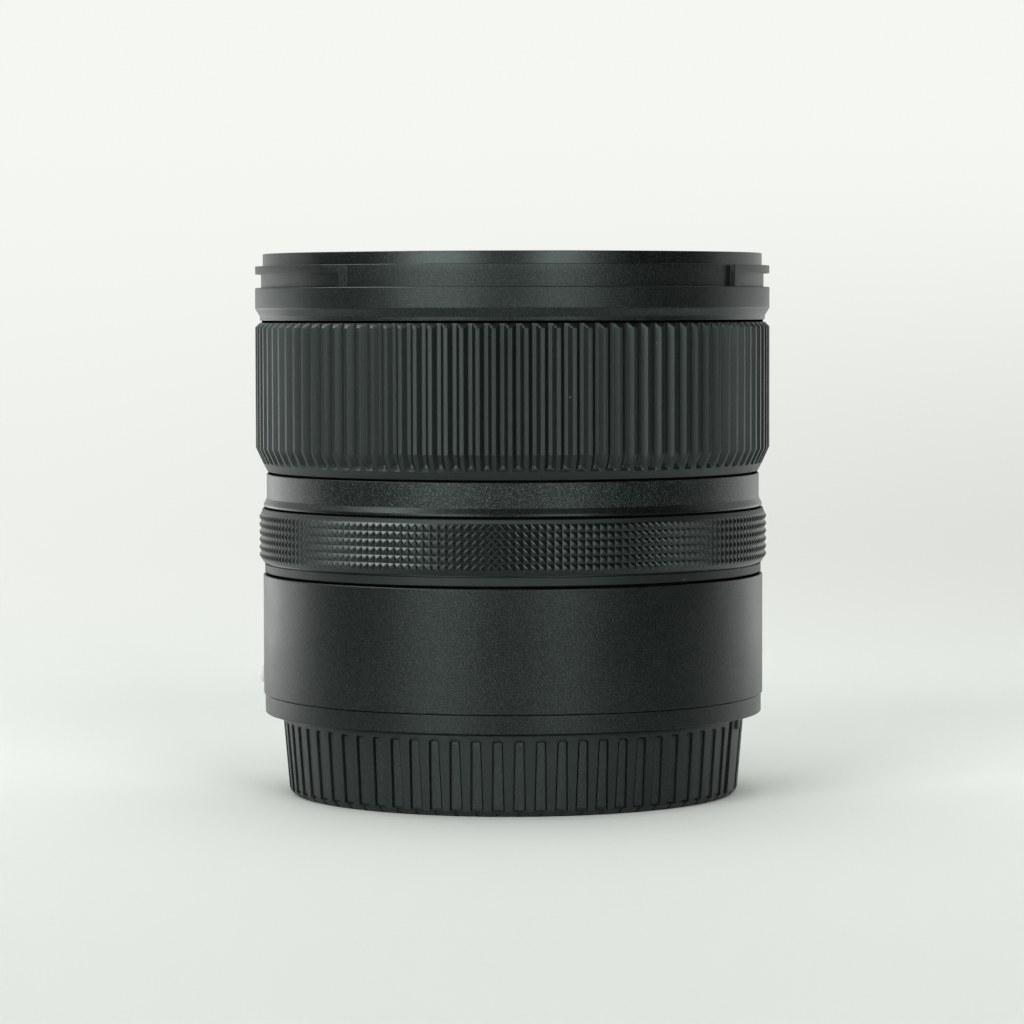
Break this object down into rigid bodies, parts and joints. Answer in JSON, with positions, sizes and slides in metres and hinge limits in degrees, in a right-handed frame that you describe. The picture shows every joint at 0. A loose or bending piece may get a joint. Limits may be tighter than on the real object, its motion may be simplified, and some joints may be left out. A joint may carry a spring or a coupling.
{
  "type": "camera zoom lens",
  "caption": "Round internal-zoom camera lens with a ribbed zoom ring, knurled control ring, filter bore, hood lugs and slotted rear cap.",
  "frame": {"origin": "on the optical axis at the underside of the rear cap", "axes": "+Z along the optical axis towards the front element, -Y towards the viewer"},
  "size_m": [0.072, 0.072, 0.0754],
  "materials": {
    "front_black": "satin",
    "inner_black": "matte",
    "coated_glass": "coated, clear",
    "grip_black": "matte",
    "steel": "brushed",
    "grain_black": "fine grain",
    "knurl_black": "black anodised, knurled",
    "tube_alloy": "black anodised",
    "blade_black": "dry film, matte",
    "gear_brass": "satin",
    "board_green": "lacquered",
    "chip_black": "matte",
    "mount_black": "satin",
    "contact_gold": "polished",
    "dot_white": "satin",
    "cap_black": "matte"
  },
  "bodies": {
    "barrel": {"front_ring": "front_black", "front_trim_ring": "inner_black", "front_element": "coated_glass", "second_element": "coated_glass", "third_element": "coated_glass", "front_group_frame": "inner_black", "zoom_return_spring": "steel", "ring_sensors": "inner_black", "middle_band": "grain_black", "chassis_tube": "tube_alloy", "guide_tube": "tube_alloy", "rear_plate": "inner_black", "zoom_motor": "steel", "main_board": "board_green", "board_chips": "chip_black", "rear_frame": "inner_black", "rear_lens_frame": "inner_black", "rear_element": "coated_glass", "lens_mount": "mount_black", "mount_screws": "steel", "rear_baffle": "inner_black", "contact_block": "inner_black", "contact_pins": "contact_gold", "rear_barrel": "grain_black", "rear_ring": "grain_black", "index_dot": "dot_white"},
    "zoom_grip": {"zoom_ring": "inner_black", "zoom_ring_grip": "grip_black"},
    "control": {"control_ring": "knurl_black"},
    "cap": {"rear_cap": "cap_black"},
    "cam": {"cam_tube": "tube_alloy"},
    "idler": {"zoom_idler_gear": "gear_brass"},
    "motor_pinion": {"zoom_motor_pinion": "steel"},
    "front_carriage": {"zoom_carriage": "inner_black", "zoom_carriage_pins": "steel", "zoom_lens": "coated_glass", "iris_base": "inner_black", "iris_cover": "inner_black", "iris_motor": "steel"},
    "iris_ring": {"iris_drive_ring": "inner_black"},
    "iris_gear": {"iris_pinion": "steel"},
    "yoke": {"stabiliser_yoke": "inner_black"},
    "shift_lens": {"stabiliser_frame": "inner_black", "stabiliser_lens": "coated_glass"},
    "back_carriage": {"rear_carriage": "inner_black", "rear_carriage_pins": "steel", "rear_zoom_lens": "coated_glass", "focus_rods": "steel", "focus_motor": "steel"},
    "focus": {"focus_carriage": "inner_black", "focus_lens": "coated_glass"},
    "lead_screw": {"focus_screw": "steel"},
    "blade_1": {"iris_blade_1": "blade_black"},
    "blade_2": {"iris_blade_2": "blade_black"},
    "blade_3": {"iris_blade_3": "blade_black"},
    "blade_4": {"iris_blade_4": "blade_black"},
    "blade_5": {"iris_blade_5": "blade_black"},
    "blade_6": {"iris_blade_6": "blade_black"},
    "blade_7": {"iris_blade_7": "blade_black"}
  },
  "joints": [
    {"name": "zoom_ring_turn", "type": "hinge", "parent": "barrel", "child": "zoom_grip", "pos_m": [0, 0, 0.0555], "axis": [0, 0, 1], "range_deg": [-20, 20], "stiffness_Nm_per_rad": 0.1, "deforming": ["zoom_return_spring"]},
    {"name": "control_ring_turn", "type": "hinge", "parent": "barrel", "child": "control", "pos_m": [0, 0, 0.0354], "axis": [0, 0, 1], "continuous": true},
    {"name": "rear_cap_turn", "type": "hinge", "parent": "barrel", "child": "cap", "pos_m": [0, 0, 0.0056], "axis": [0, 0, 1], "range_deg": [0, 45]},
    {"name": "cam_turn", "type": "hinge", "parent": "barrel", "child": "cam", "pos_m": [0, 0, 0.044], "axis": [0, 0, 1], "range_deg": [0, 45]},
    {"name": "front_carriage_slide", "type": "slide", "parent": "barrel", "child": "front_carriage", "axis": [0, 0, 1], "range_m": [0, 0.0045]},
    {"name": "back_carriage_slide", "type": "slide", "parent": "barrel", "child": "back_carriage", "axis": [0, 0, 1], "range_m": [0, 0.003]},
    {"name": "idler_spin", "type": "hinge", "parent": "barrel", "child": "idler", "pos_m": [-0.02546, -0.00927, 0.0253], "axis": [0, 0, 1], "range_deg": [0, 450]},
    {"name": "motor_spin", "type": "hinge", "parent": "barrel", "child": "motor_pinion", "pos_m": [-0.02257, -0.01498, 0.023], "axis": [0, 0, 1], "range_deg": [-990, 0]},
    {"name": "focus_slide", "type": "slide", "parent": "back_carriage", "child": "focus", "axis": [0, 0, 1], "range_m": [0, 0.003]},
    {"name": "focus_screw_spin", "type": "hinge", "parent": "back_carriage", "child": "lead_screw", "pos_m": [0, 0.022, 0.036], "axis": [0, 0, 1], "range_deg": [0, 1080]},
    {"name": "iris_turn", "type": "hinge", "parent": "front_carriage", "child": "iris_ring", "pos_m": [0, 0, 0.0533], "axis": [0, 0, 1], "range_deg": [0, 4.98]},
    {"name": "iris_pinion_spin", "type": "hinge", "parent": "front_carriage", "child": "iris_gear", "pos_m": [0, 0.0208, 0.0505], "axis": [0, 0, 1], "range_deg": [-46.86, 0]},
    {"name": "stabiliser_x", "type": "slide", "parent": "front_carriage", "child": "yoke", "axis": [1, 0, 0], "range_m": [-0.0004, 0.0004]},
    {"name": "stabiliser_y", "type": "slide", "parent": "yoke", "child": "shift_lens", "axis": [0, 1, 0], "range_m": [-0.0004, 0.0004]},
    {"name": "iris_blade_1_turn", "type": "hinge", "parent": "front_carriage", "child": "blade_1", "pos_m": [0.0135, 0, 0.0519], "axis": [0, 0, 1], "range_deg": [0, 28.01]},
    {"name": "iris_blade_2_turn", "type": "hinge", "parent": "front_carriage", "child": "blade_2", "pos_m": [0.00842, 0.01055, 0.0519], "axis": [0, 0, 1], "range_deg": [0, 28.01]},
    {"name": "iris_blade_3_turn", "type": "hinge", "parent": "front_carriage", "child": "blade_3", "pos_m": [-0.003, 0.01316, 0.0519], "axis": [0, 0, 1], "range_deg": [0, 28.01]},
    {"name": "iris_blade_4_turn", "type": "hinge", "parent": "front_carriage", "child": "blade_4", "pos_m": [-0.01216, 0.00586, 0.0519], "axis": [0, 0, 1], "range_deg": [0, 28.01]},
    {"name": "iris_blade_5_turn", "type": "hinge", "parent": "front_carriage", "child": "blade_5", "pos_m": [-0.01216, -0.00586, 0.0519], "axis": [0, 0, 1], "range_deg": [0, 28.01]},
    {"name": "iris_blade_6_turn", "type": "hinge", "parent": "front_carriage", "child": "blade_6", "pos_m": [-0.003, -0.01316, 0.0519], "axis": [0, 0, 1], "range_deg": [0, 28.01]},
    {"name": "iris_blade_7_turn", "type": "hinge", "parent": "front_carriage", "child": "blade_7", "pos_m": [0.00842, -0.01055, 0.0519], "axis": [0, 0, 1], "range_deg": [0, 28.01]}
  ],
  "couplings": [
    {"joint": "front_carriage_slide", "follows": "cam_turn", "m_per_rad": 0.0057296},
    {"joint": "back_carriage_slide", "follows": "cam_turn", "m_per_rad": 0.0038197},
    {"joint": "idler_spin", "follows": "cam_turn", "ratio": 10},
    {"joint": "motor_spin", "follows": "cam_turn", "ratio": -22},
    {"joint": "focus_screw_spin", "follows": "focus_slide", "rad_per_m": 6283.2},
    {"joint": "iris_pinion_spin", "follows": "iris_turn", "ratio": -9.4},
    {"joint": "iris_blade_1_turn", "follows": "iris_turn", "ratio": 5.618},
    {"joint": "iris_blade_2_turn", "follows": "iris_turn", "ratio": 5.618},
    {"joint": "iris_blade_3_turn", "follows": "iris_turn", "ratio": 5.618},
    {"joint": "iris_blade_4_turn", "follows": "iris_turn", "ratio": 5.618},
    {"joint": "iris_blade_5_turn", "follows": "iris_turn", "ratio": 5.618},
    {"joint": "iris_blade_6_turn", "follows": "iris_turn", "ratio": 5.618},
    {"joint": "iris_blade_7_turn", "follows": "iris_turn", "ratio": 5.618}
  ]
}
